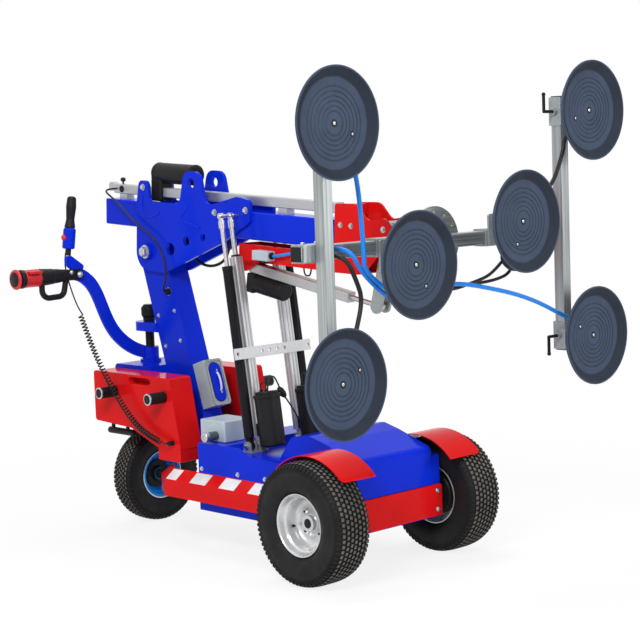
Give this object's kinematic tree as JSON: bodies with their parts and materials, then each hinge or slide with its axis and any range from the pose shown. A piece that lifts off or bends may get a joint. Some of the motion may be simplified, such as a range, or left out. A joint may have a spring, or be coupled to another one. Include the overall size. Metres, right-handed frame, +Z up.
{
  "type": "glass panel lifter",
  "caption": "Wheeled lifter that holds a glass panel on suction discs, with a telescoping boom on a leaning mast, counterweights and a steering tiller.",
  "frame": {"origin": "on the ground under the middle of the machine's box", "axes": "+Z up, -Y to the front where the discs are, +X to the machine's left"},
  "size_m": [1.694, 2.1062, 1.863],
  "materials": {
    "blue_paint": "gloss paint",
    "red_paint": "gloss paint",
    "galvanised": "galvanised, dull grey",
    "black_plastic": "matt moulded",
    "black_metal": "satin black",
    "steel": "bright turned",
    "aluminium": "anodised, satin",
    "grey_casing": "light grey, fine grain",
    "red_plastic": "gloss moulded",
    "tyre": "matt rubber",
    "rim_silver": "silver lacquer",
    "rim_blue": "gloss paint",
    "disc_rubber": "blue-grey, matt",
    "hose": "semi-gloss tube",
    "cord_black": "satin"
  },
  "bodies": {
    "chassis": {"chassis_tub": "blue_paint", "front_hood": "blue_paint", "front_guards": "red_paint", "side_rails": "red_paint", "rear_frame": "blue_paint", "counterweights": "red_paint", "weight_pegs": "black_plastic", "mast": "blue_paint", "control_boxes": "grey_casing", "cabinet_panel": "blue_paint", "drive_axle": "black_metal", "ram_base": "steel", "curly_cord": "cord_black", "boom_cable": "cord_black"},
    "wheel_right": {"front_rim_right": "rim_silver", "front_tyre_right": "tyre"},
    "wheel_left": {"front_rim_left": "rim_silver", "front_tyre_left": "tyre"},
    "steering": {"steering_fork": "black_metal", "tiller_arm": "blue_paint", "wand_grip": "black_plastic"},
    "rear_wheel": {"rear_rim": "rim_blue", "rear_tyre": "tyre"},
    "handle": {"tiller_handle": "black_plastic"},
    "throttle": {"throttle": "red_plastic"},
    "belly_switch": {"belly_button": "red_plastic"},
    "wand_switch": {"wand_button": "red_plastic"},
    "boom": {"boom_tube": "blue_paint", "boom_casting": "blue_paint", "telescope_actuator": "aluminium", "telescope_motor": "black_plastic"},
    "lift_barrels": {"strut_barrels": "black_metal", "lift_actuators": "aluminium", "lift_motors": "black_plastic"},
    "lift_rods": {"lift_rods": "steel"},
    "extension": {"inner_tube": "steel", "head_frame": "red_paint", "vacuum_block": "grey_casing"},
    "tilt_barrel": {"tilt_actuator": "aluminium", "tilt_motor": "black_plastic"},
    "tilt_rod": {"tilt_rod": "steel"},
    "tilt_head": {"tilt_bracket": "galvanised"},
    "plunger": {"index_plunger": "black_plastic"},
    "yoke": {"yoke_beam": "galvanised", "yoke_bars": "galvanised", "middle_discs": "disc_rubber", "middle_carriages": "galvanised", "yoke_hoses": "hose"},
    "carriage_upper_right": {"carriage_upper_right": "galvanised", "suction_disc_upper_right": "disc_rubber"},
    "clamp_upper_right": {"clamp_handle_upper_right": "black_plastic"},
    "carriage_lower_right": {"carriage_lower_right": "galvanised", "suction_disc_lower_right": "disc_rubber"},
    "clamp_lower_right": {"clamp_handle_lower_right": "black_plastic"},
    "carriage_upper_left": {"carriage_upper_left": "galvanised", "suction_disc_upper_left": "disc_rubber"},
    "clamp_upper_left": {"clamp_handle_upper_left": "black_plastic"},
    "carriage_lower_left": {"carriage_lower_left": "galvanised", "suction_disc_lower_left": "disc_rubber"},
    "clamp_lower_left": {"clamp_handle_lower_left": "black_plastic"}
  },
  "joints": [
    {"name": "front_wheel_right", "type": "hinge", "parent": "chassis", "child": "wheel_right", "pos_m": [-0.353, -0.53015, 0.2285], "axis": [1, 0, 0], "continuous": true},
    {"name": "front_wheel_left", "type": "hinge", "parent": "chassis", "child": "wheel_left", "pos_m": [0.353, -0.53015, 0.2285], "axis": [1, 0, 0], "continuous": true},
    {"name": "steering", "type": "hinge", "parent": "chassis", "child": "steering", "pos_m": [0, 0.82985, 0.5], "axis": [0, 0, 1], "range_deg": [-180, 0], "deforming": ["curly_cord"]},
    {"name": "rear_wheel_spin", "type": "hinge", "parent": "steering", "child": "rear_wheel", "pos_m": [0, 0.82985, 0.2], "axis": [0, 1, 0], "continuous": true},
    {"name": "handle_tilt", "type": "hinge", "parent": "steering", "child": "handle", "pos_m": [-0.365, 0.82985, 1.09], "axis": [0, 1, 0], "range_deg": [-40, 0]},
    {"name": "throttle_turn", "type": "hinge", "parent": "handle", "child": "throttle", "pos_m": [-0.5935, 0.82985, 1.09], "axis": [1, 0, 0], "range_deg": [-30, 30], "stiffness_Nm_per_rad": 0.6},
    {"name": "belly_press", "type": "slide", "parent": "handle", "child": "belly_switch", "axis": [1, 0, 0], "range_m": [0, 0.008], "stiffness_N_per_m": 900},
    {"name": "wand_press", "type": "slide", "parent": "steering", "child": "wand_switch", "axis": [0.9903, 0, -0.1392], "range_m": [0, 0.005], "stiffness_N_per_m": 900},
    {"name": "boom_lift", "type": "hinge", "parent": "chassis", "child": "boom", "pos_m": [0, 0.72385, 1.167], "axis": [-1, 0, 0], "range_deg": [-3, 25], "deforming": ["boom_cable"]},
    {"name": "lift_swing", "type": "hinge", "parent": "chassis", "child": "lift_barrels", "pos_m": [0, 0.01485, 0.425], "axis": [-1, 0, 0], "range_deg": [-0.68, 4.19]},
    {"name": "lift_stroke", "type": "slide", "parent": "lift_barrels", "child": "lift_rods", "axis": [0, 0.1364, 0.9906], "range_m": [-0.0323, 0.2549]},
    {"name": "boom_extension", "type": "slide", "parent": "boom", "child": "extension", "axis": [0, -0.9981, -0.061], "range_m": [0, 0.4]},
    {"name": "head_tilt", "type": "hinge", "parent": "extension", "child": "tilt_head", "pos_m": [0, -0.65507, 1.27101], "axis": [1, 0, 0], "range_deg": [-30, 5]},
    {"name": "tilt_swing", "type": "hinge", "parent": "extension", "child": "tilt_barrel", "pos_m": [0, 0.16985, 1.118], "axis": [1, 0, 0], "range_deg": [-1.1, 0.35]},
    {"name": "tilt_stroke", "type": "slide", "parent": "tilt_barrel", "child": "tilt_rod", "axis": [0, -0.9835, -0.1807], "range_m": [-0.0279, 0.1575]},
    {"name": "index_pull", "type": "slide", "parent": "tilt_head", "child": "plunger", "axis": [0, 1, 0], "range_m": [0, 0.012], "stiffness_N_per_m": 600},
    {"name": "yoke_rotate", "type": "hinge", "parent": "tilt_head", "child": "yoke", "pos_m": [0, -0.87215, 1.228], "axis": [0, 1, 0], "continuous": true},
    {"name": "slide_upper_right", "type": "slide", "parent": "yoke", "child": "carriage_upper_right", "axis": [0, 0, -1], "range_m": [0, 0.2], "deforming": ["yoke_hoses"]},
    {"name": "clamp_upper_right", "type": "hinge", "parent": "carriage_upper_right", "child": "clamp_upper_right", "pos_m": [-0.62, -0.92515, 1.649], "axis": [1, 0, 0], "range_deg": [-90, 90]},
    {"name": "slide_lower_right", "type": "slide", "parent": "yoke", "child": "carriage_lower_right", "axis": [0, 0, 1], "range_m": [0, 0.2], "deforming": ["yoke_hoses"]},
    {"name": "clamp_lower_right", "type": "hinge", "parent": "carriage_lower_right", "child": "clamp_lower_right", "pos_m": [-0.62, -0.92515, 0.807], "axis": [1, 0, 0], "range_deg": [-90, 90]},
    {"name": "slide_upper_left", "type": "slide", "parent": "yoke", "child": "carriage_upper_left", "axis": [0, 0, -1], "range_m": [0, 0.2], "deforming": ["yoke_hoses"]},
    {"name": "clamp_upper_left", "type": "hinge", "parent": "carriage_upper_left", "child": "clamp_upper_left", "pos_m": [0.62, -0.92515, 1.678], "axis": [1, 0, 0], "range_deg": [-90, 90]},
    {"name": "slide_lower_left", "type": "slide", "parent": "yoke", "child": "carriage_lower_left", "axis": [0, 0, 1], "range_m": [0, 0.2], "deforming": ["yoke_hoses"]},
    {"name": "clamp_lower_left", "type": "hinge", "parent": "carriage_lower_left", "child": "clamp_lower_left", "pos_m": [0.62, -0.92515, 0.836], "axis": [1, 0, 0], "range_deg": [-90, 90]}
  ],
  "couplings": [
    {"joint": "lift_swing", "follows": "boom_lift", "ratio": 0.1596},
    {"joint": "lift_stroke", "follows": "boom_lift", "m_per_rad": 0.5796},
    {"joint": "tilt_swing", "follows": "head_tilt", "ratio": 0.03},
    {"joint": "tilt_stroke", "follows": "head_tilt", "m_per_rad": -0.297}
  ]
}
